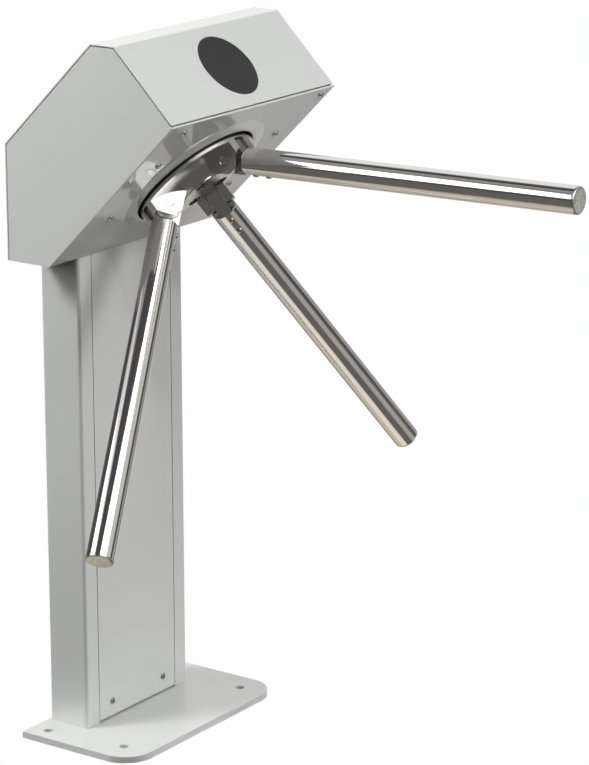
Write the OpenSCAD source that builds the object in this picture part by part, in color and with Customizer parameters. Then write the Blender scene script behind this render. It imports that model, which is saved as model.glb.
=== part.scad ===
// Waist-high tripod turnstile on a slim steel column.
// The origin is the middle of the base plate's underside, on the floor.
// +X points out into the passage, +Y runs along the head, +Z is up.
// Lengths are in millimetres and angles in degrees.

/* [Base] */
// Depth of the base plate, along X
base_x = 200; // [190:5:220]
// Width of the base plate, along Y
base_y = 360; // [340:5:400]
// Thickness of the base plate
base_t = 10; // [8:1:12]
// Radius of the two front corners
base_r = 45; // [30:1:60]
// Diameter of the floor bolt holes
bolt_d = 13; // [11:1:15]

/* [Column] */
// Depth of the column, along X
col_x = 68; // [64:1:76]
// Width of the column, along Y
col_y = 240; // [236:2:260]
// Back face of the column
col_back = -96; // [-98:1:-92]
// Sheet thickness of the column and its panel
col_t = 2; // [1.5:0.5:3]
// Half width of the front panel
panel_w = 90; // [85:1:94]

/* [Head] */
// Height of the head's top face above the floor
head_top = 1030; // [1000:5:1060]
// Width of the head, along Y
head_w = 375; // [350:5:400]
// Sheet thickness of the head's casing
head_t = 2; // [1.5:0.5:2.5]
// Diameter of the round indicator window
window_d = 101; // [80:1:110]

/* [Rotor] */
// Turn of the rotor from its home position
phase = 3; // [-3:0.5:3]
// Outer radius of the rotor
rot_r = 94; // [92:1:94]
// Radius at which the arm pins sit
pin_r = 65.5; // [64:0.5:66]
// Diameter of the arm pins
pin_d = 12; // [10:1:12]

/* [Arms] */
// Angle between each arm and the rotor's axis
arm_angle = 45.6; // [45:0.1:46]
// Outer diameter of the arm tubes
tube_d = 38; // [34:1:38]
// Wall thickness of the arm tubes
tube_t = 1.5; // [1.2:0.1:2.5]
// Length of the arm tubes
tube_l = 510; // [400:10:540]

/* [Hidden] */
$fn = 64;
rt2 = sqrt(2);

// head outline, seen along Y: six corners from the bottom back, clockwise
back_x = -98;
bot_z = 713;
// the front corner, where the upper front meets the lower slope at a right angle
nose_x = 194;
nose_z = 931;
// sums and differences that place the four 45 degree faces
k_up = 1125 + (head_top - 1030);      // x + z on the upper front
k_lo = nose_x - nose_z;               // x - z on the lower slope
k_bk = -975.5;                        // x - z on the upper back
function out_pts(d) = [
    [back_x + d, bot_z + d],
    [back_x + d, back_x + d - k_bk - d * rt2],
    [head_top - d + k_bk + d * rt2, head_top - d],
    [k_up - d * rt2 - (head_top - d), head_top - d],
    [(k_up + k_lo) / 2 - d * rt2, (k_up - k_lo) / 2],
    [bot_z + d + k_lo - d * rt2, bot_z + d]];

function unit(v) = v / norm(v);
// points of a round corner at b, between a and c
function bend(a, b, c, r) = let (d1 = unit(a - b), d2 = unit(c - b), g = acos(d1 * d2),
    p = b + d1 * r / tan(g / 2), q = b + d2 * r / tan(g / 2), m = b + unit(d1 + d2) * r / sin(g / 2),
    s = atan2(p[1] - m[1], p[0] - m[0]), e = atan2(q[1] - m[1], q[0] - m[0]), w = ((e - s + 540) % 360) - 180)
    [for (i = [0:4]) m + r * [cos(s + w * i / 4), sin(s + w * i / 4)]];

// rotor axis: it leaves the lower slope square to it, out and down
rx = 86.5;
rz = 823.5;
pin_h = 24.5;      // height of the arm pins above the slope
rim_h = 10;        // top of the rotor's rim
rim_b = 5.4;       // underside of the rim, outside the skirt
boss_h = 27;       // flat boss in the middle of the rotor
ear_w = 23;        // half width over the two ears
slot_w = 10.2;     // half width of the slot between the ears
tang_w = 9;        // half width of the tang
tube_s = 26;       // pin to the start of the tube, along the arm
scr_s = [38.5, 59.5];

// a point in the XZ plane from its distance up the slope and its height out of it
function uh(u, h) = [rx + (u + h) / rt2, rz + (u - h) / rt2];
u_front = (k_up - rx - rz) / rt2;   // the upper front face, up the slope from the rotor axis

// frames: slope frame (z out of the slope), arm plane frame, arm frame
module slope() { translate([rx, 0, rz]) rotate([0, 135, 0]) children(); }
module rotor() { slope() rotate([0, 0, 180 - phase]) children(); }
module arm_plane(k) { slope() rotate([0, 0, 180 - phase - 120 * k]) children(); }
module arm(k) { arm_plane(k) translate([pin_r, 0, pin_h]) rotate([0, arm_angle, 0]) children(); }
// a block in the slope frame, given by u (up the slope), v (along Y) and h (out of it)
module ub(u0, u1, v0, v1, h0, h1) { translate([-u1, v0, h0]) cube([u1 - u0, v1 - v0, h1 - h0]); }
// a plate in the XZ plane, extruded along Y
module along_y(y0, y1) { translate([0, y1, 0]) rotate([90, 0, 0]) linear_extrude(y1 - y0) children(); }
module rbox(x, y, r) { // rectangle with true round corners, centred
    union() {
        square([x - 2 * r, y], center = true);
        square([x, y - 2 * r], center = true);
        for (a = [-1, 1], b = [-1, 1]) translate([a * (x / 2 - r), b * (y / 2 - r)]) circle(r);
    }
}

steel = "silver";
paint = [0.80, 0.81, 0.80];

// ---------- base and column ----------
back_holes = [-71.5, 156];
front_holes = [55.5, 141];
module base_outline() {
    union() {
        translate([-base_x / 2, -base_y / 2]) square([base_x - base_r, base_y]);
        translate([-base_x / 2, -base_y / 2 + base_r]) square([base_x, base_y - 2 * base_r]);
        for (s = [-1, 1]) translate([base_x / 2 - base_r, s * (base_y / 2 - base_r)]) circle(base_r, $fn = 96);
    }
}
module base_plate() color([0.84, 0.84, 0.83]) difference() {
    linear_extrude(base_t) base_outline();
    for (s = [-1, 1]) {
        translate([back_holes[0], s * back_holes[1], -1]) cylinder(d = bolt_d, h = base_t + 2);
        translate([front_holes[0], s * front_holes[1], -1]) cylinder(d = bolt_d, h = base_t + 2);
    }
    // cable entry from the floor, under the column
    translate([-76, -45, -1]) cube([30, 90, base_t + 2]);
    // thread of the earth stud
    translate([-62, 85, -1]) cylinder(d = 6, h = base_t + 2);
}
col_front = col_back + col_x;
module column_outline(d) translate([col_back + col_x / 2, 0]) rbox(col_x - 2 * d, col_y - 2 * d, 5 - d);
module column_shell() color(paint) union() {
    translate([0, 0, base_t]) linear_extrude(bot_z - base_t) difference() {
        column_outline(0);
        column_outline(col_t);
        translate([col_front - 10, -panel_w - 1.5]) square([20, 2 * panel_w + 3]);
    }
    // cross strip behind the foot of the front panel
    difference() {
        translate([col_front - col_t - 3, -panel_w - 12, 20]) cube([3, 2 * panel_w + 24, 30]);
        for (s = [-1, 1]) translate([col_front - 12, s * 60.5, 35]) rotate([0, 90, 0]) cylinder(d = 5, h = 12);
    }
}
module column_front_panel() color(paint) difference() {
    union() {
        translate([col_front - col_t, -panel_w, base_t + 2.5]) cube([col_t, 2 * panel_w, bot_z - base_t - 3.5]);
        for (s = [-1, 1]) translate([col_front - 16, s * (panel_w - 1) - 1, 60]) cube([16 - col_t + 0.5, 2, bot_z - 80]);
    }
    for (s = [-1, 1]) translate([col_front - 5, s * 60.5, 35]) rotate([0, 90, 0]) cylinder(d = 5.5, h = 10);
}
module column_panel_screws() color(steel) for (s = [-1, 1]) translate([col_front, s * 60.5, 35]) rotate([0, 90, 0]) {
    difference() {
        union() { cylinder(d = 9.5, h = 1.2); translate([0, 0, 1.2]) cylinder(d1 = 9.5, d2 = 6.5, h = 1.2); translate([0, 0, -12]) cylinder(d = 5, h = 12.1); }
        translate([0, 0, 0.9]) union() { translate([-2.4, -0.5, 0]) cube([4.8, 1, 3]); translate([-0.5, -2.4, 0]) cube([1, 4.8, 3]); }
    }
}
flange_holes = [for (a = [-78, -46], b = [-85, 85]) [a, b]];
module column_top_flange() color("dimgray") difference() {
    translate([0, 0, bot_z - 6]) linear_extrude(6) column_outline(col_t);
    for (p = flange_holes) translate([p[0], p[1], bot_z - 7]) cylinder(d = 11, h = 8);
    translate([-76, -40, bot_z - 7]) cube([28, 80, 8]);
    translate([col_front - 17, -panel_w - 1, bot_z - 7]) cube([30, 2 * panel_w + 2, 8]);
}
module head_fixing_bolts() color(steel) for (p = flange_holes) translate([p[0], p[1], 0]) {
    translate([0, 0, bot_z + head_t]) cylinder(d = 18, h = 6, $fn = 6);
    translate([0, 0, bot_z - 18]) cylinder(d = 10, h = 18 + head_t + 0.1);
    translate([0, 0, bot_z - 14]) cylinder(d = 17, h = 8, $fn = 6);
}

// ---------- head casing ----------
lip = 2.5;        // the casing's lip at the front corner
seam = 2.5;       // open seam between the lip and the cover
in_t = head_t + 1.2;   // inset of the cheeks, which leaves a dark seam inside the cover
// rounds the bend between a cheek and the lower slope
module edge_tool(s, r) slope() translate([-u_front - 2, 0, 0]) rotate([90, 0, 90]) linear_extrude(u_front + 170)
    polygon(concat([[s * (head_w / 2 + 1), 1], [s * (head_w / 2 + 1), -r]],
        [for (t = [0:15:90]) [s * (head_w / 2 - r + r * cos(t)), -r + r * sin(t)]], [[s * (head_w / 2 - r), 1]]));
// lower casing: two cheeks, the lower slope with a raised ring round the rotor, and the floor
module head_body() color(paint) {
    k = out_pts(in_t);
    o = out_pts(0);
    i = out_pts(head_t);
    tip = uh(u_front - in_t, 0);
    difference() {
        union() {
            for (s = [-1, 1]) along_y(s > 0 ? head_w / 2 - head_t : -head_w / 2, s > 0 ? head_w / 2 : -head_w / 2 + head_t)
                polygon(concat([[k[0][0], bot_z]], bend([k[0][0], bot_z], k[1], k[2], 1.1), bend(k[1], k[2], k[3], 1.1), bend(k[2], k[3], k[4], 1.1),
                    [tip], bend(tip, o[5], [k[0][0], bot_z], 3.5)));
            // floor and lower slope, one bent sheet
            along_y(-head_w / 2, head_w / 2) polygon(concat([[k[0][0], bot_z]], bend([k[0][0], bot_z], o[5], tip, 3.5),
                [tip, uh(u_front - in_t, -head_t)], bend(tip, i[5], [k[0][0], bot_z + head_t], 1.5), [[k[0][0], bot_z + head_t]]));
            // lip, and the strip that it carries behind the cover's lower edge
            slope() ub(u_front - in_t - 0.1, u_front, -head_w / 2, head_w / 2, -lip, 0);
            slope() ub(u_front - 9, u_front - 7, -head_w / 2 + head_t - 0.1, head_w / 2 - head_t + 0.1, -11.5, -1.9);
            // raised ring
            slope() rotate_extrude($fn = 128) polygon([[97, -2], [97, 1.6], [97.4, 2.2], [98.3, 2.6], [99.7, 2.75], [102, 2.72], [104.5, 2.5], [118.5, 0], [118.5, -1], [100, -2]]);
        }
        slope() translate([0, 0, -5]) cylinder(r = 97, h = 20, $fn = 128);
        for (s = [-1, 1]) edge_tool(s, 2.3);
        for (p = slope_scr) slope() translate([-p[0], p[1], -6]) cylinder(d = 5.4, h = 12);
        for (p = flange_holes) translate([p[0], p[1], bot_z - 1]) cylinder(d = 11, h = 6);
        translate([-76, -40, bot_z - 1]) cube([28, 80, 6]);
    }
}
// wrap-round cover: back, upper back, top and upper front
module head_cover() color(paint) {
    o = out_pts(0);
    i = out_pts(head_t);
    eo = uh(u_front, -lip - seam);
    ei = uh(u_front - head_t, -lip - seam);
    difference() {
        along_y(-head_w / 2, head_w / 2) polygon(concat(
            [[back_x, bot_z]], bend([back_x, bot_z], o[1], o[2], 3.5), bend(o[1], o[2], o[3], 3.5), bend(o[2], o[3], eo, 3.5), [eo, ei],
            bend(ei, i[3], i[2], 1.5), bend(i[3], i[2], i[1], 1.5), bend(i[2], i[1], [back_x + head_t, bot_z], 1.5), [[back_x + head_t, bot_z]]));
        window_at() translate([0, 0, -5]) cylinder(d = window_d, h = 10, $fn = 96);
    }
}
slope_scr = [[132, -147], [137, 168], [56, -134], [56, 138], [-60, -135], [-60, 138]];
module pan_screw(d, hd, hh, l) difference() {
    union() {
        cylinder(d = hd, h = hh * 0.45, $fn = 32);
        translate([0, 0, hh * 0.45]) cylinder(d1 = hd, d2 = hd * 0.66, h = hh * 0.55, $fn = 32);
        translate([0, 0, -l]) cylinder(d = d, h = l + 0.1, $fn = 32);
    }
    translate([0, 0, hh * 0.5]) union() { translate([-hd * 0.28, -0.5, 0]) cube([hd * 0.56, 1, hh]); translate([-0.5, -hd * 0.28, 0]) cube([1, hd * 0.56, hh]); }
}
module slope_screws() color(steel) {
    for (p = slope_scr) slope() translate([-p[0], p[1], 0]) pan_screw(5, 10, 3, p[0] > 100 ? 9 : 12);
    for (i = [0, 1]) slope() translate([-slope_scr[i][0], slope_scr[i][1], -head_t - 4]) cylinder(d = 9, h = 4, $fn = 6);
}

// middle of the upper front face; the window sits slightly higher and to one side of it
wx = (out_pts(0)[3][0] + out_pts(0)[4][0]) / 2;
wz = (out_pts(0)[3][1] + out_pts(0)[4][1]) / 2;
module window_at() { translate([wx - 2.5 / rt2, 4, wz + 2.5 / rt2]) rotate([0, 45, 0]) children(); }
module indicator_window() color([0.06, 0.06, 0.07]) window_at() {
    translate([0, 0, -head_t]) cylinder(d = window_d - 0.4, h = head_t - 0.3, $fn = 96);
    translate([0, 0, -head_t - 1.5]) cylinder(d = window_d + 12, h = 1.5, $fn = 96);
}
module indicator_board() color("darkgreen") window_at() {
    difference() {
        translate([0, 0, -20]) cylinder(d = 96, h = 1.6);
        for (a = [45:90:315]) rotate([0, 0, a]) translate([42, 0, -21]) cylinder(d = 3.2, h = 4, $fn = 24);
    }
    // light emitters in a cross and a ring
    for (a = [0:45:315]) rotate([0, 0, a]) translate([26, 0, -18.5]) cylinder(d = 5, h = 4, $fn = 16);
    for (a = [0:90:270]) rotate([0, 0, a]) translate([11, 0, -18.5]) cylinder(d = 5, h = 4, $fn = 16);
}
module indicator_board_spacers() color("white") window_at() for (a = [45:90:315]) rotate([0, 0, a]) translate([42, 0, 0]) {
    translate([0, 0, -18.4]) cylinder(d = 7, h = 14.9, $fn = 24);
    translate([0, 0, -22.5]) cylinder(d = 3, h = 4.2, $fn = 24);
    translate([0, 0, -22.5]) cylinder(d = 6, h = 2.4, $fn = 24);
}

// ---------- rotor ----------
// profile of the rotor's face: flat boss, short cone, then a hollow flank down to the rim
function face_h(r) = rim_h + (boss_h - 2 - rim_h) * pow((rot_r - 1 - r) / (rot_r - 40), 2.76);
ear_a = [rot_r - 0.2, 7];
ear_b = [rot_r - 0.2, 23.4];
ear_c = [75.5, 43.6];
ear_d = [60.2, 43.6];
ear_e = [37, 22.1];
ear = concat([ear_a], bend(ear_a, ear_b, ear_c, 14), bend(ear_b, ear_c, ear_d, 9), bend(ear_c, ear_d, ear_e, 9), [ear_e, [37, 7]]);
module rotor_hub() color([0.70, 0.70, 0.69]) difference() {
    union() {
        rotate_face();
        intersection() {
            for (k = [0:2]) arm_plane(k) for (s = [-1, 1]) translate([0, s > 0 ? ear_w : -slot_w, 0]) rotate([90, 0, 0]) linear_extrude(ear_w - slot_w) polygon(ear);
            slope() cylinder(r = rot_r, h = 60, $fn = 128);
        }
    }
    // slots for the tangs
    for (k = [0:2]) arm_plane(k) {
        translate([38.7, -slot_w, -4]) cube([84 - 38.7, 2 * slot_w, 70]);
        translate([36.6, -slot_w, 24]) cube([60, 2 * slot_w, 60]);
        translate([80, -slot_w, 7.5]) cube([30, 2 * slot_w, 60]);
    }
    // pin bores, countersunk at both ends
    for (k = [0:2], s = [-1, 1]) arm_plane(k) translate([pin_r, s * (ear_w + 0.01), pin_h]) rotate([s * 90, 0, 0]) cylinder(d1 = pin_d + 1.66, d2 = pin_d + 0.04, h = 0.81);
    for (k = [0:2]) arm_plane(k) translate([pin_r, 0, pin_h]) rotate([90, 0, 0]) cylinder(d = pin_d + 0.04, h = 80, center = true);
    // counterbored screw holes between the arms
    for (k = [0:2]) slope() rotate([0, 0, 180 - phase - 60 - 120 * k]) translate([26, 0, 0]) {
        translate([0, 0, 13]) cylinder(d = 20, h = 30);
        translate([0, 0, -4]) cylinder(d = 12.5, h = 30);
    }
    // spigot recess at the back
    slope() translate([0, 0, -4]) cylinder(r = 14, h = 6);
}
module rotate_face() slope() rotate_extrude($fn = 128) polygon(concat(
    [[0, -3], [88, -3], [88, rim_b], [rot_r, rim_b], [rot_r, rim_h - 0.6], [rot_r - 0.6, rim_h]],
    [for (i = [0:14]) let (r = (rot_r - 1) - (rot_r - 40) * i / 14) [r, face_h(r)]],
    [[38.4, boss_h - 0.4], [37.6, boss_h], [0, boss_h]]));
module rotor_skirt() color([0.06, 0.06, 0.06]) slope() difference() {
    translate([0, 0, -2.5]) cylinder(r = 92.6, h = rim_b + 2.5, $fn = 128);
    translate([0, 0, -3]) cylinder(r = 88.05, h = 12, $fn = 128);
}
module rotor_screws() color([0.2, 0.2, 0.2]) for (k = [0:2]) slope() rotate([0, 0, 180 - phase - 60 - 120 * k]) translate([26, 0, 0]) difference() {
    union() { translate([0, 0, 13]) cylinder(d = 18, h = 9); translate([0, 0, -12]) cylinder(d = 12, h = 25.1); }
    translate([0, 0, 16]) cylinder(d = 11, h = 8, $fn = 6);
}
module arm_pins() color(steel) for (k = [0:2]) arm_plane(k) translate([pin_r, 0, pin_h]) rotate([90, 0, 0]) cylinder(d = pin_d, h = 2 * ear_w - 0.4, center = true);

// ---------- arms ----------
// root: flat tang with a round heel, its outer corner flush with the rotor, and a hollow plug inside the tube
module arm_root(k) color([0.62, 0.62, 0.61]) difference() {
    union() {
        arm(k) translate([0, tang_w, 0]) rotate([90, 0, 0]) linear_extrude(2 * tang_w) union() {
            circle(r = 15.8);
            polygon([[11.1, -11.1], [27.6, 5.4], [10.4, 22.6], [14.5, 22.6], [14.5, tube_s], [-18.5, tube_s], [-18.5, -18.5], [-2.3, -15.6], [0, 0]]);
        }
        arm(k) translate([0, 0, tube_s - 0.1]) cylinder(d = tube_d - 2 * tube_t - 0.1, h = 52);
    }
    arm(k) translate([0, 0, tube_s + 12]) cylinder(d = 23, h = 60);
    arm_plane(k) translate([pin_r, 0, pin_h]) rotate([90, 0, 0]) cylinder(d = pin_d + 0.1, h = 80, center = true);
    for (s = scr_s) arm(k) translate([-30, 0, s]) rotate([0, 90, 0]) cylinder(d = 5, h = 30);
}
module arm_tube(k) color([0.85, 0.85, 0.86]) difference() {
    arm(k) translate([0, 0, tube_s]) difference() {
        cylinder(d = tube_d, h = tube_l, $fn = 96);
        translate([0, 0, -1]) cylinder(d = tube_d - 2 * tube_t, h = tube_l + 2, $fn = 96);
    }
    for (s = scr_s) arm(k) translate([-30, 0, s]) rotate([0, 90, 0]) { cylinder(d = 5.5, h = 28); cylinder(d = 9.6, h = 30 - tube_d / 2 + 0.35); }
}
module arm_cap(k) color([0.78, 0.78, 0.77]) arm(k) translate([0, 0, tube_s + tube_l]) rotate_extrude($fn = 96) polygon(concat(
    [[0, -5], [tube_d / 2 - 5, -5], [tube_d / 2 - 5, -18], [tube_d / 2 - tube_t - 0.05, -18], [tube_d / 2 - tube_t - 0.05, 0], [tube_d / 2, 0], [tube_d / 2, 1]],
    [for (a = [10:16:90]) [tube_d / 2 - 3 + 3 * cos(a), 1 + 2 * sin(a)]],
    [[12, 3.25], [8, 3.45], [4, 3.57], [0, 3.6]]));
module arm_screws(k) color(steel) for (s = scr_s) arm(k) translate([-tube_d / 2 + 0.35, 0, s]) rotate([0, -90, 0]) difference() {
    union() {
        translate([0, 0, -11]) cylinder(d = 5, h = 11.1);
        rotate_extrude($fn = 32) polygon(concat([[0, 0], [4.75, 0]], [for (a = [10:20:70]) [4.75 * cos(a), 2.7 * sin(a) + 0.2]], [[1.7, 2.9], [0, 2.9]]));
    }
    translate([0, 0, 1.2]) cylinder(d = 3.4, h = 4, $fn = 6);
}

// ---------- shaft and bearings, in the slope frame (negative heights are inside the head) ----------
shaft_r = 17.5;
module ring(r0, r1, h0, h1) difference() {
    translate([0, 0, h0]) cylinder(r = r1, h = h1 - h0);
    translate([0, 0, h0 - 1]) cylinder(r = r0, h = h1 - h0 + 2);
}
module main_shaft() color("gray") slope() difference() {
    union() {
        translate([0, 0, -13]) cylinder(r = 42, h = 10);
        translate([0, 0, -4]) cylinder(r = 13.9, h = 5);
        translate([0, 0, -131]) cylinder(r = shaft_r, h = 119);
        translate([0, 0, -30]) cylinder(r = 21, h = 18);
    }
    for (k = [0:2]) rotate([0, 0, 180 - phase - 60 - 120 * k]) translate([26, 0, -14]) cylinder(d = 12.1, h = 12);
}
bear = [-47, -84];   // inner ends of the two bearings
ball_c = 26.75;
module bearing_outer_rings() color([0.55, 0.55, 0.57]) slope() for (b = bear) difference() {
    ring(31, 36, b, b + 17);
    translate([0, 0, b + 8.5]) rotate_extrude() translate([ball_c, 0]) circle(r = 5.3, $fn = 32);
}
module bearing_inner_rings() color([0.6, 0.6, 0.62]) slope() for (b = bear) difference() {
    ring(shaft_r + 0.03, 22.5, b, b + 17);
    translate([0, 0, b + 8.5]) rotate_extrude() translate([ball_c, 0]) circle(r = 5.6, $fn = 32);
}
module bearing_balls() color("silver") slope() for (b = bear) for (a = [0:40:320]) rotate([0, 0, a]) translate([ball_c, 0, b + 8.5]) sphere(r = 5.25, $fn = 24);
module shaft_sleeves() color([0.45, 0.45, 0.47]) slope() for (q = [[-67, -47], [-90, -84], [-104, -98], [-117.5, -112], [-122, -119]]) ring(shaft_r + 0.03, 21, q[0], q[1]);
module bearing_housing() color([0.35, 0.36, 0.38]) slope() difference() {
    union() {
        translate([0, 0, -84]) cylinder(r = 44, h = 56);
        translate([0, 0, -34]) cylinder(r = 62, h = 10);
    }
    translate([0, 0, -85]) cylinder(r = 36.03, h = 55);
    translate([0, 0, -99]) cylinder(r = 30, h = 80);
    for (a = [45:90:315]) rotate([0, 0, a]) translate([53, 0, -35]) cylinder(d = 8.5, h = 12);
    for (a = [0:90:270]) rotate([0, 0, a]) translate([40, 0, -85]) cylinder(d = 4, h = 13, $fn = 32);
}
module housing_bolts() color(steel) slope() for (a = [45:90:315]) rotate([0, 0, a]) translate([53, 0, 0]) {
    translate([0, 0, -39.5]) cylinder(d = 14, h = 5.5, $fn = 6);
    translate([0, 0, -34.1]) cylinder(d = 8, h = 18.1);
}
module shaft_nut() color([0.3, 0.3, 0.3]) slope() difference() {
    ring(shaft_r + 0.03, 25, -128, -122);
    for (a = [0:90:270]) rotate([0, 0, a]) translate([22.5, -2.5, -129]) cube([5, 5, 8]);
}
// plate parallel to the slope, carried on stand-offs behind the slope screws
module mechanism_plate() color([0.5, 0.51, 0.53]) slope() difference() {
    ub(-98, 98, -150, 150, -24, -18);
    translate([0, 0, -30]) cylinder(r = 44.5, h = 20);
    for (a = [45:90:315]) rotate([0, 0, a]) translate([53, 0, -30]) cylinder(d = 8, h = 20);
    for (i = [2:5]) translate([-slope_scr[i][0], slope_scr[i][1], -30]) cylinder(d = 8, h = 20);
}
module plate_standoffs() color(steel) slope() for (i = [2:5]) translate([-slope_scr[i][0], slope_scr[i][1], 0]) difference() {
    union() {
        translate([0, 0, -18]) cylinder(d = 14, h = 16, $fn = 6);
        translate([0, 0, -28]) cylinder(d = 8, h = 10.1);
        translate([0, 0, -31]) cylinder(d = 14, h = 7, $fn = 6);
    }
    translate([0, 0, -14]) cylinder(d = 5, h = 14, $fn = 32);
}

// ---------- lock wheel, pawls and solenoids ----------
lock_r = 52;
notch_w = 15;        // wider than the nose, so the locked rotor keeps a little play
pv_u = 64;           // pawl posts, up the slope from the axis
pv_v = 50;           // and to each side
lift = 9.5;          // swing of a pawl out of its notch
tail = 29.8;         // post to the plunger's line
damp_u = -60.3;      // damper axis
module lock_plate() color([0.42, 0.43, 0.45]) slope() difference() {
    union() {
        ub(-90, 76, -100, 100, -88, -84);
        for (s = [-1, 1]) ub(75, 136, s > 0 ? 62 : -98, s > 0 ? 98 : -62, -88, -84);
    }
    translate([0, 0, -90]) cylinder(r = 30, h = 8);
    for (a = [0:90:270]) rotate([0, 0, a]) translate([40, 0, -90]) cylinder(d = 4.5, h = 8, $fn = 32);
    for (s = [-1, 1]) translate([-pv_u, s * pv_v, -90]) cylinder(d = 10, h = 8);
    translate([-damp_u, 0, -90]) cylinder(d = 12, h = 8);
}
module lock_plate_screws() color(steel) slope() for (a = [0:90:270]) rotate([0, 0, a]) translate([40, 0, -88]) difference() {
    union() { translate([0, 0, -1.9]) cylinder(d = 8, h = 1.9, $fn = 32); translate([0, 0, -0.1]) cylinder(d = 4, h = 14, $fn = 32); }
    translate([0, 0, -2]) cylinder(d = 3, h = 1.4, $fn = 6);
}
module lock_wheel() color([0.58, 0.58, 0.6]) slope() difference() {
    ring(shaft_r + 0.03, lock_r, -98, -90);
    for (a = [0:60:300]) rotate([0, 0, 90 - phase + a]) translate([lock_r - 9, -notch_w / 2, -99]) cube([20, notch_w, 12]);
    for (a = [0:60:300]) rotate([0, 0, 60 - phase + a]) translate([33, 0, -99]) cylinder(r = 7, h = 12, $fn = 32);
}
// teeth with straight flanks: radius and angle of each corner of one tooth
function tooth(n, m) = let (r = n * m / 2, t = PI * m / 2 - 0.45, f = tan(20), ro = r + 0.9 * m, ri = r - 1.2 * m,
    q = 90 / PI) [[ri, -q * (t + 2.4 * m * f) / ri], [ro, -q * (t - 1.8 * m * f) / ro], [ro, q * (t - 1.8 * m * f) / ro], [ri, q * (t + 2.4 * m * f) / ri]];
module gear(n, m) polygon([for (i = [0:n - 1], p = tooth(n, m)) p[0] * [cos(360 * i / n + p[1]), sin(360 * i / n + p[1])]]);
module damper_gear() color([0.2, 0.2, 0.22]) slope() difference() {
    translate([0, 0, -112]) linear_extrude(8) gear(60, 1.5);
    translate([0, 0, -113]) cylinder(r = shaft_r + 0.03, h = 10);
    for (a = [0:60:300]) rotate([0, 0, a]) translate([31, 0, -113]) cylinder(r = 6, h = 10, $fn = 32);
}
module damper_pinion() color("white") slope() translate([-damp_u, 0, 0]) union() {
    translate([0, 0, -112]) linear_extrude(8) rotate(9) gear(20, 1.5);
    translate([0, 0, -104.1]) cylinder(r = 9, h = 4.1);
    translate([0, 0, -110]) cylinder(r = 4, h = 44);
}
module rotary_damper() color([0.12, 0.12, 0.13]) slope() translate([-damp_u, 0, 0]) difference() {
    union() {
        translate([0, 0, -84]) cylinder(r = 15, h = 30);
        translate([0, 0, -87.9]) cylinder(r = 5.95, h = 4);
    }
    translate([0, 0, -90]) cylinder(r = 4.3, h = 26);
}
module encoder_disc() color([0.1, 0.1, 0.1]) slope() difference() {
    ring(shaft_r + 0.03, 58, -119, -117.5);
    for (a = [0:15:345]) rotate([0, 0, a]) translate([49, -2.5, -120]) cube([6, 5, 4]);
}
module position_sensors() color([0.08, 0.08, 0.09]) slope() for (s = [-1, 1]) rotate([0, 0, s * 45]) difference() {
    union() {
        translate([50, -7, -127]) cube([18, 14, 18]);
        translate([58, -5, -109.5]) cube([10, 10, 21.5]);
    }
    translate([49, -8, -121]) cube([11, 16, 5.5]);
}
// a pawl, drawn locked and then swung out of the notch
pawl_pts = [[0, -10.5], [50, 3], [60.5, 3], [60.5, -6], [67.5, -6], [67.5, 13], [52, 14], [6, 12], [6, 37], [-6, 37], [-6, 8]];
module pawl(s) slope() translate([-pv_u, s * pv_v, -97.5]) rotate([0, 0, s * lift]) linear_extrude(7) difference() {
    union() {
        circle(r = 11);
        polygon([for (i = [0:10]) let (p = pawl_pts[s > 0 ? i : 10 - i]) [p[0], s * p[1]]]);
    }
    circle(d = 11.1);
    translate([0, s * (tail + 0.3)]) union() { square([4.8, 2], center = true); for (q = [-1, 1]) translate([0, q]) circle(d = 4.8, $fn = 32); }
}
module pawl_a() color([0.6, 0.55, 0.45]) pawl(1);
module pawl_b() color([0.6, 0.55, 0.45]) pawl(-1);
module pawl_pivots() color(steel) slope() for (s = [-1, 1]) translate([-pv_u, s * pv_v, 0]) {
    translate([0, 0, -100.5]) cylinder(d = 17, h = 2.7);
    translate([0, 0, -99]) cylinder(d = 11, h = 10);
    translate([0, 0, -90.2]) cylinder(d = 18, h = 2.2);
    translate([0, 0, -89]) cylinder(d = 10, h = 9);
    translate([0, 0, -84]) cylinder(d = 17, h = 5, $fn = 6);
}
module solenoid(s) slope() translate([-pv_u, s * (pv_v + tail), 0]) difference() {
    translate([-68, -14, -118]) cube([50, 28, 30]);
    translate([-60, 0, -104]) rotate([0, 90, 0]) cylinder(r = 4.5, h = 50);
    for (q = [-1, 1]) translate([-62, q > 0 ? 12 : -15, -117]) cube([38, 3, 27]);
}
module solenoid_a() color([0.55, 0.45, 0.2]) solenoid(1);
module solenoid_b() color([0.55, 0.45, 0.2]) solenoid(-1);
pin_x = -(tail + 0.3) * sin(lift) + 0.02;
module plunger(s) slope() translate([-pv_u + pin_x, s * (pv_v + tail), 0]) union() {
    translate([-45, 0, -104]) rotate([0, 90, 0]) cylinder(r = 4.2, h = 50);
    translate([0, 0, -104]) cylinder(r = 2, h = 14, $fn = 32);
}
module plunger_a() color("silver") plunger(1);
module plunger_b() color("silver") plunger(-1);

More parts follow.
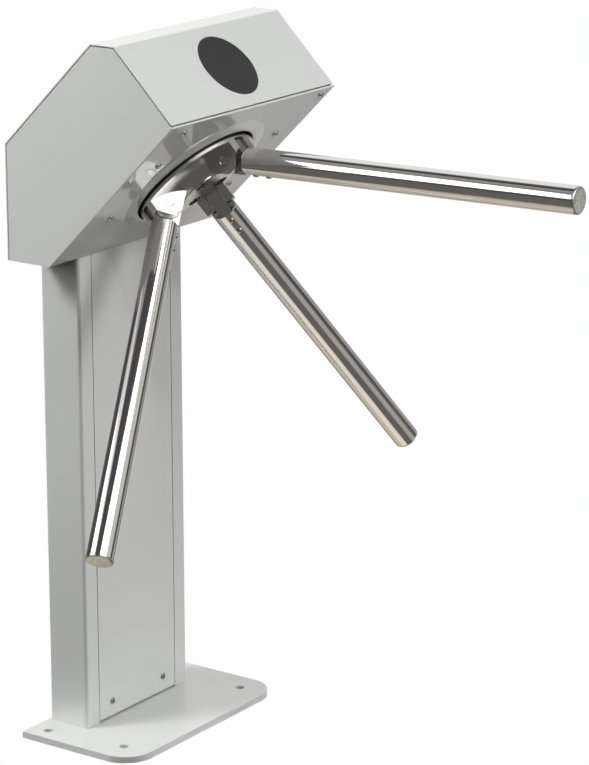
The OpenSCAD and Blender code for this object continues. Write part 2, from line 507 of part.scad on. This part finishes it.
// ---------- electronics and wiring in the column ----------
bx = col_back + col_t;   // inside of the back wall
module control_board() color([0.05, 0.3, 0.12]) difference() {
    union() {
        translate([bx + 12, -60, 430]) cube([1.6, 120, 160]);
        translate([bx + 13.5, -40, 520]) cube([12, 30, 40]);
        translate([bx + 13.5, 0, 530]) cube([12, 32, 32]);
        for (i = [0:2]) translate([bx + 13.5, -34 + 24 * i, 485]) cube([15, 18, 12]);
        for (i = [0, 1]) translate([bx + 13.5, 40, 480 + 26 * i]) rotate([0, 90, 0]) cylinder(r = 8, h = 14);
    }
    for (y = [-54, 54], z = [436, 584]) translate([bx + 10, y, z]) rotate([0, 90, 0]) cylinder(d = 3.4, h = 6, $fn = 32);
}
module board_spacers() color("silver") for (y = [-54, 54], z = [436, 584]) translate([bx, y, z]) rotate([0, 90, 0]) {
    cylinder(d = 7, h = 12, $fn = 6);
    translate([0, 0, 11.9]) cylinder(d = 3.3, h = 4, $fn = 32);
    translate([0, 0, 13.6]) cylinder(d = 6, h = 2.2, $fn = 32);
}
module terminal_block() color([0.1, 0.45, 0.2]) difference() {
    translate([bx + 13.6, -44, 436]) cube([14, 88, 14]);
    for (i = [0:9]) translate([bx + 22, -39.6 + 8.8 * i, 443]) rotate([0, 90, 0]) cylinder(d = 5, h = 8, $fn = 24);
}
module internal_cable() color([0.15, 0.15, 0.15]) {
    translate([bx + 24, -24, 0]) cylinder(d = 8, h = 436);
    translate([bx + 24, 24, 562]) cylinder(d = 8, h = 198);
    translate([bx + 24, 24, 760]) sphere(d = 8, $fn = 24);
    translate([bx + 24, 24, 760]) rotate([0, 31, 0]) cylinder(d = 8, h = 55);
}
module cable_clips() color("white") for (q = [[-24, 120], [-24, 260], [-24, 390], [24, 640]]) difference() {
    translate([bx, q[0] - 7, q[1]]) cube([30, 14, 8]);
    translate([bx + 24, q[0], q[1] - 1]) cylinder(d = 8.1, h = 10);
}
module earth_stud() color([0.75, 0.65, 0.3]) translate([-62, 85, 0]) {
    cylinder(d = 6, h = 30);
    translate([0, 0, base_t]) cylinder(d = 11.5, h = 5, $fn = 6);
    translate([0, 0, base_t + 7]) cylinder(d = 14, h = 1.5);
    translate([0, 0, base_t + 8.5]) cylinder(d = 11.5, h = 5, $fn = 6);
}

base_plate();
column_shell();
column_front_panel();
column_panel_screws();
column_top_flange();
head_fixing_bolts();
head_body();
head_cover();
slope_screws();
indicator_window();
indicator_board();
indicator_board_spacers();
mechanism_plate();
plate_standoffs();
bearing_housing();
housing_bolts();
bearing_outer_rings();
bearing_balls();
bearing_inner_rings();
main_shaft();
shaft_sleeves();
shaft_nut();
rotor_hub();
rotor_skirt();
rotor_screws();
arm_pins();
lock_plate();
lock_plate_screws();
lock_wheel();
damper_gear();
damper_pinion();
rotary_damper();
encoder_disc();
position_sensors();
pawl_a();
pawl_b();
pawl_pivots();
solenoid_a();
solenoid_b();
plunger_a();
plunger_b();
control_board();
board_spacers();
terminal_block();
internal_cable();
cable_clips();
earth_stud();
arm_root(0);  // arm_1_root
arm_tube(0);  // arm_1_tube
arm_cap(0);  // arm_1_cap
arm_screws(0);  // arm_1_screws
arm_root(1);  // arm_2_root
arm_tube(1);  // arm_2_tube
arm_cap(1);  // arm_2_cap
arm_screws(1);  // arm_2_screws
arm_root(2);  // arm_3_root
arm_tube(2);  // arm_3_tube
arm_cap(2);  // arm_3_cap
arm_screws(2);  // arm_3_screws
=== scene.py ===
import bpy, bmesh, math
from mathutils import Vector, Matrix


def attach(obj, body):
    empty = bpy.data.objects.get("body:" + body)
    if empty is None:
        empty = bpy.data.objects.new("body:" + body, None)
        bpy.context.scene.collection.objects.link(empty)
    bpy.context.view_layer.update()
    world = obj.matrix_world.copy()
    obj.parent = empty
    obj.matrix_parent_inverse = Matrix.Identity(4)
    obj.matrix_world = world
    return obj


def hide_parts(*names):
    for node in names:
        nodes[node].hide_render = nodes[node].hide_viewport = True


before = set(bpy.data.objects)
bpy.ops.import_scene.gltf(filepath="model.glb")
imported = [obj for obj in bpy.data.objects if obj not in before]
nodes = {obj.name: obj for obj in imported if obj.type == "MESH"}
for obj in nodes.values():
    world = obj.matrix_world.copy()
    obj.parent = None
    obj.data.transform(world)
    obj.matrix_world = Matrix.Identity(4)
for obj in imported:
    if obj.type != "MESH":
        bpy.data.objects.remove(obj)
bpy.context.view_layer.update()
scene = bpy.context.scene
MM = 0.001

# ---------------------------------------------------------------- frames of the part
R2 = math.sqrt(0.5)
O = Vector((0.0865, 0.0, 0.8235))          # rotor axis where it meets the slope
A = Vector((R2, 0.0, -R2))                 # out of the slope
U = Vector((R2, 0.0, R2))                  # up the slope
V = Vector((0.0, 1.0, 0.0))                # along the head
PHASE, ARM = math.radians(3.0), math.radians(45.6)
PIN_R, PIN_H = 65.5, 24.5


def uvh(u, v, h):
    return O + (U * u + V * v + A * h) * MM


def arm_axes(k):
    """pin centre, along the arm, across it away from the rotor's axis, along the pin"""
    ps = PHASE + k * math.radians(120)
    rad = U * math.cos(ps) + V * math.sin(ps)
    along = rad * math.sin(ARM) + A * math.cos(ARM)
    out = rad * math.cos(ARM) - A * math.sin(ARM)
    return O + rad * (PIN_R * MM) + A * (PIN_H * MM), along, out, along.cross(out)


# ---------------------------------------------------------------- camera, solved from the photograph
def camera():
    az, el, roll = math.radians(35.015), math.radians(15.778), math.radians(-0.083)
    f_px, tx, ty, dist = 3178.09, 0.20920, 0.50873, 4.5521
    back = Vector((math.sin(az) * math.cos(el), -math.cos(az) * math.cos(el), math.sin(el)))
    right = Vector((math.cos(az), math.sin(az), 0.0))
    up = back.cross(right)
    right, up = right * math.cos(roll) + up * math.sin(roll), up * math.cos(roll) - right * math.sin(roll)
    place = Vector((tx * math.cos(az), tx * math.sin(az), ty)) + back * dist
    data = bpy.data.cameras.new("camera")
    data.sensor_width = 36.0
    data.sensor_fit = "AUTO"
    data.lens = f_px / 765.0 * 36.0
    data.clip_start, data.clip_end = 0.05, 60.0
    cam = bpy.data.objects.new("camera", data)
    cam.matrix_world = Matrix(((right.x, up.x, back.x, place.x), (right.y, up.y, back.y, place.y),
                               (right.z, up.z, back.z, place.z), (0, 0, 0, 1)))
    scene.collection.objects.link(cam)
    scene.camera = cam
    return cam


cam = camera()


# ---------------------------------------------------------------- materials
def new_mat(name):
    m = bpy.data.materials.new(name)
    m.use_nodes = True
    nt = m.node_tree
    b = nt.nodes["Principled BSDF"]
    return m, nt, b


def coords(nt, scale=(1, 1, 1), rot=(0, 0, 0), loc=(0, 0, 0)):
    tc = nt.nodes.new("ShaderNodeTexCoord")
    mp = nt.nodes.new("ShaderNodeMapping")
    mp.inputs["Scale"].default_value = scale
    mp.inputs["Rotation"].default_value = rot
    mp.inputs["Location"].default_value = loc
    nt.links.new(tc.outputs["Object"], mp.inputs["Vector"])
    return mp.outputs["Vector"]


def noise(nt, vec, scale, detail=3.0, rough=0.55, dist=0.0):
    n = nt.nodes.new("ShaderNodeTexNoise")
    n.inputs["Scale"].default_value = scale
    n.inputs["Detail"].default_value = detail
    n.inputs["Roughness"].default_value = rough
    n.inputs["Distortion"].default_value = dist
    nt.links.new(vec, n.inputs["Vector"])
    return n.outputs["Fac"]


def ramp(nt, fac, a, b, lo=0.3, hi=0.7):
    r = nt.nodes.new("ShaderNodeValToRGB")
    r.color_ramp.elements[0].position = lo
    r.color_ramp.elements[1].position = hi
    r.color_ramp.elements[0].color = (*a, 1)
    r.color_ramp.elements[1].color = (*b, 1)
    nt.links.new(fac, r.inputs["Fac"])
    return r.outputs["Color"]


def span(nt, fac, lo, hi, a=0.3, b=0.7):
    m = nt.nodes.new("ShaderNodeMapRange")
    m.inputs["From Min"].default_value = a
    m.inputs["From Max"].default_value = b
    m.inputs["To Min"].default_value = lo
    m.inputs["To Max"].default_value = hi
    nt.links.new(fac, m.inputs["Value"])
    return m.outputs["Result"]


def bump(nt, b, height, strength, dist, into="Normal"):
    n = nt.nodes.new("ShaderNodeBump")
    n.inputs["Strength"].default_value = strength
    n.inputs["Distance"].default_value = dist
    nt.links.new(height, n.inputs["Height"])
    nt.links.new(n.outputs["Normal"], b.inputs[into])
    return n


def tint(c, k):
    return tuple(min(1.0, x * k) for x in c)


def painted(name, c, rough, coat=0.0, coat_rough=0.08, peel=0.12, spec=0.5):
    """powder coat: faint mottling, fine orange peel, optional gloss over it"""
    m, nt, b = new_mat(name)
    v = coords(nt)
    nt.links.new(ramp(nt, noise(nt, v, 5.0), tint(c, 0.985), tint(c, 1.012)), b.inputs["Base Color"])
    nt.links.new(span(nt, noise(nt, v, 40.0, 4), rough - 0.03, rough + 0.04), b.inputs["Roughness"])
    bump(nt, b, noise(nt, v, 700.0, 2), 0.15, 0.00012)
    bump(nt, b, noise(nt, v, 260.0, 1), peel, 0.00006, "Coat Normal")
    b.inputs["Specular IOR Level"].default_value = spec
    b.inputs["Coat Weight"].default_value = coat
    b.inputs["Coat Roughness"].default_value = coat_rough
    return m


def metal(name, c, rough, grain=(1, 1, 1), grain_scale=600.0, grain_depth=0.05, vary=0.04, var_scale=12.0, dark=0.97, light=1.02):
    """bare metal with a fine grain"""
    m, nt, b = new_mat(name)
    v = coords(nt)
    b.inputs["Metallic"].default_value = 1.0
    nt.links.new(ramp(nt, noise(nt, v, var_scale), tint(c, dark), tint(c, light)), b.inputs["Base Color"])
    nt.links.new(span(nt, noise(nt, v, var_scale * 2.3, 4), rough - vary * rough, rough + vary * rough * 2), b.inputs["Roughness"])
    g = coords(nt, grain)
    bump(nt, b, noise(nt, g, grain_scale, 2), grain_depth, 0.0001)
    return m


def turned(name, c, rough, ring=0.0011, depth=0.12):
    """metal turned on the rotor's axis: fine rings round it"""
    m, nt, b = new_mat(name)
    tc = nt.nodes.new("ShaderNodeTexCoord")
    sub = nt.nodes.new("ShaderNodeVectorMath"); sub.operation = "SUBTRACT"
    sub.inputs[1].default_value = O
    nt.links.new(tc.outputs["Object"], sub.inputs[0])
    crs = nt.nodes.new("ShaderNodeVectorMath"); crs.operation = "CROSS_PRODUCT"
    crs.inputs[1].default_value = A
    nt.links.new(sub.outputs["Vector"], crs.inputs[0])
    ln = nt.nodes.new("ShaderNodeVectorMath"); ln.operation = "LENGTH"
    nt.links.new(crs.outputs["Vector"], ln.inputs[0])
    mul = nt.nodes.new("ShaderNodeMath"); mul.operation = "MULTIPLY"
    mul.inputs[1].default_value = 1.0 / ring
    nt.links.new(ln.outputs["Value"], mul.inputs[0])
    rn = nt.nodes.new("ShaderNodeTexNoise"); rn.noise_dimensions = "1D"
    rn.inputs["Scale"].default_value = 1.0
    rn.inputs["Detail"].default_value = 3.0
    nt.links.new(mul.outputs["Value"], rn.inputs["W"])
    bump(nt, b, rn.outputs["Fac"], depth, 0.00008)
    v = coords(nt)
    b.inputs["Metallic"].default_value = 1.0
    nt.links.new(ramp(nt, noise(nt, v, 14.0), tint(c, 0.95), tint(c, 1.03)), b.inputs["Base Color"])
    fine = span(nt, noise(nt, v, 30.0, 4), rough * 0.9, rough * 1.15)
    edge = nt.nodes.new("ShaderNodeMath"); edge.operation = "GREATER_THAN"   # the rim is turned coarser
    edge.inputs[1].default_value = 0.0930
    nt.links.new(ln.outputs["Value"], edge.inputs[0])
    mx = nt.nodes.new("ShaderNodeMix")
    mx.inputs["B"].default_value = 0.34
    nt.links.new(edge.outputs["Value"], mx.inputs["Factor"])
    nt.links.new(fine, mx.inputs["A"])
    nt.links.new(mx.outputs["Result"], b.inputs["Roughness"])
    return m


def plastic(name, c, rough, grain=0.05, scale=900.0, coat=0.0):
    m, nt, b = new_mat(name)
    v = coords(nt)
    nt.links.new(ramp(nt, noise(nt, v, 20.0), tint(c, 0.93), tint(c, 1.05)), b.inputs["Base Color"])
    nt.links.new(span(nt, noise(nt, v, 60.0, 4), rough * 0.9, rough * 1.15), b.inputs["Roughness"])
    bump(nt, b, noise(nt, v, scale, 2), grain, 0.0001)
    b.inputs["Coat Weight"].default_value = coat
    b.inputs["Coat Roughness"].default_value = 0.03
    return m


def board(name):
    """circuit board: green lacquer with lighter tracks"""
    m, nt, b = new_mat(name)
    v = coords(nt)
    w = nt.nodes.new("ShaderNodeTexVoronoi")
    w.distance = "MANHATTAN"
    w.inputs["Scale"].default_value = 160.0
    nt.links.new(v, w.inputs["Vector"])
    nt.links.new(ramp(nt, w.outputs["Distance"], (0.02, 0.14, 0.05), (0.01, 0.08, 0.03), 0.1, 0.25), b.inputs["Base Color"])
    b.inputs["Roughness"].default_value = 0.35
    bump(nt, b, w.outputs["Distance"], 0.1, 0.0001)
    return m


M = {
    "casing": painted("casing_paint", (0.609, 0.621, 0.603), 0.45, coat=1.0, coat_rough=0.025, peel=0.05),
    "base": painted("base_paint", (0.575, 0.584, 0.568), 0.40, coat=0.6, coat_rough=0.06),
    "zinc": metal("zinc_screws", (0.72, 0.72, 0.72), 0.24, grain_scale=1500),
    "recess": metal("screw_steel", (0.34, 0.34, 0.33), 0.30, grain_scale=1500),
    "screw": metal("screw_bright", (0.50, 0.50, 0.49), 0.16, grain_scale=1500),
    "arm_screw": metal("arm_screw", (0.50, 0.47, 0.43), 0.18, grain_scale=1500),
    "dark_steel": metal("dark_steel", (0.32, 0.33, 0.34), 0.42, grain=(1, 1, 8)),
    "tube": metal("arm_steel", (0.80, 0.785, 0.765), 0.085, grain_scale=300, grain_depth=0.02, vary=0.12),
    "cap": metal("cap_steel", (0.74, 0.73, 0.70), 0.28, grain_scale=420, grain_depth=0.8, var_scale=260.0, dark=0.72, light=1.15),
    "hub": turned("hub_steel", (0.60, 0.595, 0.58), 0.2),
    "ear": metal("ear_steel", (0.56, 0.555, 0.54), 0.26, grain=(1, 1, 1), grain_scale=900, grain_depth=0.05),
    "pin": metal("pin_steel", (0.76, 0.76, 0.75), 0.16, grain_scale=1200),
    "bearing": metal("bearing_steel", (0.62, 0.62, 0.64), 0.16, grain_scale=1000),
    "cast": metal("cast_iron", (0.16, 0.165, 0.17), 0.62, grain_scale=350, grain_depth=0.3),
    # near-black skirt: partly the black ring's own colour, partly painted shade of the deep gap round the rotor
    "skirt": plastic("skirt_black_and_gap_shade", (0.010, 0.010, 0.010), 0.45),
    "black": plastic("black_plastic", (0.018, 0.018, 0.019), 0.42, 0.1),
    "white": plastic("white_plastic", (0.72, 0.72, 0.70), 0.4),
    "coil": plastic("coil_yellow", (0.45, 0.28, 0.05), 0.45),
    "cable": plastic("cable_black", (0.02, 0.02, 0.02), 0.5, 0.2),
    "window": plastic("window_black", (0.042, 0.042, 0.043), 0.16, 0.01, 300, coat=0.6),
    "board": board("board_green"),
    "brass": metal("brass", (0.62, 0.47, 0.20), 0.25),
}
USE = {
    "casing": ["column_shell", "column_front_panel", "head_body", "head_cover"],
    "base": ["base_plate"],
    "recess": ["column_panel_screws"],
    "zinc": ["head_fixing_bolts", "plate_standoffs", "housing_bolts", "lock_plate_screws", "board_spacers", "pawl_pivots"],
    "screw": ["slope_screws"],
    "arm_screw": ["arm_1_screws", "arm_2_screws", "arm_3_screws"],
    "dark_steel": ["column_top_flange", "mechanism_plate", "lock_plate", "shaft_nut", "shaft_sleeves", "main_shaft", "rotor_screws"],
    "window": ["indicator_window"],
    "board": ["indicator_board", "control_board"],
    "coil": ["solenoid_a", "solenoid_b"],
    "white": ["indicator_board_spacers", "cable_clips", "damper_pinion", "terminal_block"],
    "cast": ["bearing_housing"],
    "bearing": ["bearing_outer_rings", "bearing_inner_rings", "bearing_balls", "lock_wheel", "pawl_a", "pawl_b", "plunger_a", "plunger_b"],
    "pin": ["arm_pins"],
    "hub": ["rotor_hub"],
    "ear": ["arm_1_root", "arm_2_root", "arm_3_root"],
    "tube": ["arm_1_tube", "arm_2_tube", "arm_3_tube"],
    "cap": ["arm_1_cap", "arm_2_cap", "arm_3_cap"],
    "skirt": ["rotor_skirt"],
    "black": ["damper_gear", "rotary_damper", "encoder_disc", "position_sensors"],
    "cable": ["internal_cable"],
    "brass": ["earth_stud"],
}


# ---------------------------------------------------------------- shading of carried-over CAD nodes
def by_angle(me, angle=30.0):
    """smooth inside each surface, sharp across real edges"""
    me.shade_smooth()
    if hasattr(me, "set_sharp_from_angle"):
        me.set_sharp_from_angle(angle=math.radians(angle))


def soften(o, width=0.35, segs=2, angle=33.0):
    """rounded edges on a CAD node, as modifiers"""
    d = o.modifiers.new("flats", "DECIMATE")
    d.decimate_type = "DISSOLVE"
    d.angle_limit = math.radians(0.6)
    w = o.modifiers.new("weld", "WELD")
    w.merge_threshold = 0.00001
    o.modifiers.move(1, 0)
    bv = o.modifiers.new("edge", "BEVEL")
    bv.width = width * MM
    bv.segments = segs
    bv.limit_method = "ANGLE"
    bv.angle_limit = math.radians(angle)
    bv.use_clamp_overlap = True
    bv.harden_normals = False
    wn = o.modifiers.new("normals", "WEIGHTED_NORMAL")
    wn.keep_sharp = True


for key, names in USE.items():
    for n in names:
        o = nodes[n]
        o.data.materials.clear()
        o.data.materials.append(M[key])


# ---------------------------------------------------------------- mesh helpers
def mesh_obj(name, verts, faces, mat, body, smooth_angle=30.0):
    me = bpy.data.meshes.new(name)
    me.from_pydata([tuple(v) for v in verts], [], faces)
    me.update()
    bm = bmesh.new(); bm.from_mesh(me)
    bmesh.ops.remove_doubles(bm, verts=bm.verts, dist=1e-7)
    bmesh.ops.recalc_face_normals(bm, faces=bm.faces)
    bm.to_mesh(me); bm.free()
    by_angle(me, smooth_angle)
    o = bpy.data.objects.new(name, me)
    scene.collection.objects.link(o)
    me.materials.append(mat)
    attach(o, body)
    return o


def revolve(name, prof, c, ax, mat, body, segs=128, closed=True, smooth_angle=30.0):
    """prof: (radius, height) in mm round the axis ax from c"""
    x = ax.orthogonal().normalized(); y = ax.cross(x)
    verts, faces = [], []
    n = len(prof)
    for i in range(segs):
        t = 2 * math.pi * i / segs
        d = x * math.cos(t) + y * math.sin(t)
        for r, h in prof:
            verts.append(c + d * (r * MM) + ax * (h * MM))
    for i in range(segs):
        j = (i + 1) % segs
        for q in range(n if closed else n - 1):
            p = (q + 1) % n
            a, b, cc, dd = i * n + q, j * n + q, j * n + p, i * n + p
            faces.append((a, b, cc, dd))
    return mesh_obj(name, verts, faces, mat, body, smooth_angle)


# ---------------------------------------------------------------- arms: tube and end cap as fine turned shapes
for k in range(3):
    pin, along, out, side = arm_axes(k)
    body = f"arm_{k + 1}"
    r, w, l0, l1 = 19.0, 1.5, 26.0, 536.0
    prof = [(r - w, l0 + 0.3), (r - w + 0.3, l0), (r - 0.5, l0), (r - 0.15, l0 + 0.15), (r, l0 + 0.5), (r, l0 + 0.9), (r, l0 + 1.4), (r, l0 + 60)]
    prof += [(r, l0 + 60 + (l1 - l0 - 60) * i / 12) for i in range(1, 12)]
    prof += [(r, l1 - 1.2), (r, l1 - 0.7), (r, l1 - 0.35), (r - 0.12, l1 - 0.08), (r - 0.3, l1), (r - w, l1)]
    tube = revolve(f"arm_{k + 1}_tube_skin", prof, pin, along, M["tube"], body, 128)
    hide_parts(f"arm_{k + 1}_tube")
    cp = [(0.01, 3.6), (4, 3.57), (8, 3.45), (12, 3.25), (15, 3.05), (16.2, 2.95), (17.2, 2.7), (18.1, 2.2), (18.6, 1.6), (18.85, 0.9),
          (18.85, 0.35), (18.7, 0.1), (17.4, 0.1), (17.4, -18), (14, -18), (14, -5), (0.01, -5)]
    cap = revolve(f"arm_{k + 1}_cap_skin", [(a, b + l1) for a, b in cp], pin, along, M["cap"], body, 96, smooth_angle=28)
    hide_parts(f"arm_{k + 1}_cap")

for n, o in nodes.items():
    if n in ("bearing_balls", "damper_gear", "encoder_disc"):
        continue
    if n.endswith(("_tube", "_cap")):
        continue
    soften(o, 0.45 if n in ("head_body", "head_cover", "column_shell", "column_front_panel", "base_plate") else 0.7 if n == "rotor_hub" else 0.3)

# ---------------------------------------------------------------- floor, lights
def floor():
    """plain white floor and far white walls, seen by the camera alone; what the steel mirrors of the room is in the world below"""
    me = bpy.data.meshes.new("floor")
    s = 14.0
    ring = [(-s, -s), (s, -s), (s, s), (-s, s)]
    me.from_pydata([(x, y, z) for z in (-0.0005, s) for x, y in ring], [], [(0, 1, 2, 3)] + [(i, (i + 1) % 4, 4 + (i + 1) % 4, 4 + i) for i in range(4)])
    o = bpy.data.objects.new("floor", me)
    scene.collection.objects.link(o)
    m = bpy.data.materials.new("floor_white")
    m.use_nodes = True
    nt = m.node_tree
    nt.nodes.clear()
    e = nt.nodes.new("ShaderNodeEmission")
    out = nt.nodes.new("ShaderNodeOutputMaterial")
    v = coords(nt)
    nt.links.new(ramp(nt, noise(nt, v, 1.0), (0.99, 0.99, 0.99), (1.0, 1.0, 1.0)), e.inputs["Color"])
    nt.links.new(e.outputs["Emission"], out.inputs["Surface"])
    me.materials.append(m)
    o.visible_diffuse = o.visible_glossy = o.visible_transmission = o.visible_shadow = False
    return o


floor()


def ground():
    """the strip of floor that the base plate covers, coloured dark grey as painted shade under the plate: it shows
    dark through the bolt holes
    """
    me = bpy.data.meshes.new("ground")
    x, y, z = 0.096, 0.176, -0.0003
    me.from_pydata([(-x, -y, z), (x - 0.03, -y, z), (x, -y + 0.03, z), (x, y - 0.03, z), (x - 0.03, y, z), (-x, y, z)], [], [(0, 1, 2, 3, 4, 5)])
    o = bpy.data.objects.new("ground", me)
    scene.collection.objects.link(o)
    # the dark grey here is painted shade under the plate, not the floor's own colour
    me.materials.append(plastic("floor_painted_shade_under_plate", (0.16, 0.16, 0.155), 0.7))


ground()


def room():
    """studio seen by light and by reflections: dark ceiling, pale walls behind, warm floor"""
    world = bpy.data.worlds.new("studio")
    scene.world = world
    world.use_nodes = True
    nt = world.node_tree
    bg = nt.nodes["Background"]
    tc = nt.nodes.new("ShaderNodeTexCoord")
    d = tc.outputs["Generated"]

    def mask(centre, full, edge):
        c = Vector(centre).normalized()
        dot = nt.nodes.new("ShaderNodeVectorMath"); dot.operation = "DOT_PRODUCT"
        dot.inputs[1].default_value = c
        nt.links.new(d, dot.inputs[0])
        m = nt.nodes.new("ShaderNodeMapRange"); m.interpolation_type = "SMOOTHSTEP"
        m.inputs["From Min"].default_value = math.cos(math.radians(edge))
        m.inputs["From Max"].default_value = math.cos(math.radians(full))
        nt.links.new(dot.outputs["Value"], m.inputs["Value"])
        return m.outputs["Result"]

    def mix(below, colour, fac):
        m = nt.nodes.new("ShaderNodeMix"); m.data_type = "RGBA"
        nt.links.new(fac, m.inputs["Factor"])
        if hasattr(below, "links"):
            nt.links.new(below, m.inputs["A"])
        else:
            m.inputs["A"].default_value = (*below, 1)
        m.inputs["B"].default_value = (*colour, 1)
        return m.outputs["Result"]

    col = mix((0.138, 0.134, 0.122), (0.07, 0.07, 0.075), mask((0, 0, 1), 86.5, 90.5))   # floor, dark ceiling
    for centre, full, edge, c in ROOM:
        col = mix(col, c, mask(centre, full, edge))
    soft = (0.0, 0.0, 0.0)   # what lights the matt surfaces: pale ceiling and one pale wall
    for centre, full, edge, c in DOME:
        soft = mix(soft, c, mask(centre, full, edge))
    lp = nt.nodes.new("ShaderNodeLightPath")
    both = mix((0, 0, 0), (0, 0, 0), lp.outputs["Is Diffuse Ray"])
    both.node.name = "both"
    nt.links.new(col, both.node.inputs["A"])
    nt.links.new(soft, both.node.inputs["B"])
    nt.links.new(both, bg.inputs["Color"])
    bg.inputs["Strength"].default_value = 1.0
    world.cycles.sampling_method = "NONE"


# direction, degrees of full strength and to the edge, radiance
ROOM = [
    ((-0.56, 0.66, 0.50), 22, 34, (0.93, 0.92, 0.90)),
    ((-0.53, -0.28, 0.81), 8, 12, (0.32, 0.32, 0.31)),
    ((0.70, 0.45, 0.53), 22, 27, (0.62, 0.62, 0.60)),
    ((0.10, 0.97, 0.16), 16, 26, (0.36, 0.36, 0.35)),
    ((0.93, 0.30, -0.22), 10, 22, (0.42, 0.40, 0.37)),
    ((-0.30, 0.80, -0.52), 18, 32, (0.62, 0.61, 0.58)),
    ((-0.52, -0.10, -0.85), 12, 36, (0.62, 0.56, 0.47)),
    ((0.10, -0.32, -0.94), 11, 25, (0.90, 0.83, 0.73)),
    ((0.555, 0.058, 0.829), 7, 9, (3.6, 3.6, 3.55)),
    ((0.782, 0.096, 0.616), 8, 10, (3.0, 3.0, 2.95)),
    ((0.497, 0.827, -0.262), 8, 16, (0.60, 0.60, 0.585)),
]
DOME = [
    ((0, 0, 1), 30, 60, (0.78, 0.78, 0.765)),
    ((0.60, 0.80, 0.20), 25, 50, (1.80, 1.79, 1.75)),
]
room()


def softbox(name, centre, half_x, half_y, roll, radiance, seen=True, lights=True, colour=(1, 1, 1), at=(0.10, -0.06, 0.76), spread=180.0):
    """rectangle of light that faces the head, or the point at"""
    c = Vector(centre)
    n = (Vector(at) - c).normalized()
    x = Vector((0, 0, 1)).cross(n).normalized()
    y = n.cross(x)
    t = math.radians(roll)
    x, y = x * math.cos(t) + y * math.sin(t), y * math.cos(t) - x * math.sin(t)
    l = bpy.data.lights.new(name, "AREA")
    l.shape = "RECTANGLE"
    l.size, l.size_y = 2 * half_x, 2 * half_y
    l.energy = radiance * math.pi * 4 * half_x * half_y
    l.color = colour
    l.spread = math.radians(spread)
    o = bpy.data.objects.new(name, l)
    o.matrix_world = Matrix(((-x.x, y.x, -n.x, c.x), (-x.y, y.y, -n.y, c.y), (-x.z, y.z, -n.z, c.z), (0, 0, 0, 1)))
    o.visible_glossy = seen
    o.visible_diffuse = lights
    scene.collection.objects.link(o)
    return o


softbox("softbox_left", (-1.761, -2.226, 2.234), 1.075, 0.875, -27.9, 2.6, lights=False)
softbox("softbox_left_rim", (-1.878, -2.105, 2.231), 1.275, 1.15, -27.9, 0.6, lights=False)
softbox("softbox_right", (2.298, -0.915, 2.584), 1.085, 1.2, 5.3, 3.0, lights=False)
LAMPS = (("lamp_left_wide", (-1.974, -2.012, 2.218), 1.2, 1.0, 0, 3.0), ("lamp_left", (-1.8, -2.3, 2.9), 0.5, 0.5, 0, 29.0),
         ("lamp_key", (2.7, -0.47, 2.4), 0.4, 0.4, 0, 21.0), ("lamp_front", (2.2, -1.0, 3.0), 0.6, 0.6, 0, 0.8))
for lamp in LAMPS:
    softbox(*lamp, seen=False)
softbox("floor_glow", (1.45, -1.45, 0.12), 0.6, 0.02, 0, 0.62, seen=False, at=(0.0, 0.0, -0.02), spread=5.0)   # glow of the pale floor on the foot's edge
scene.view_settings.view_transform = "Standard"
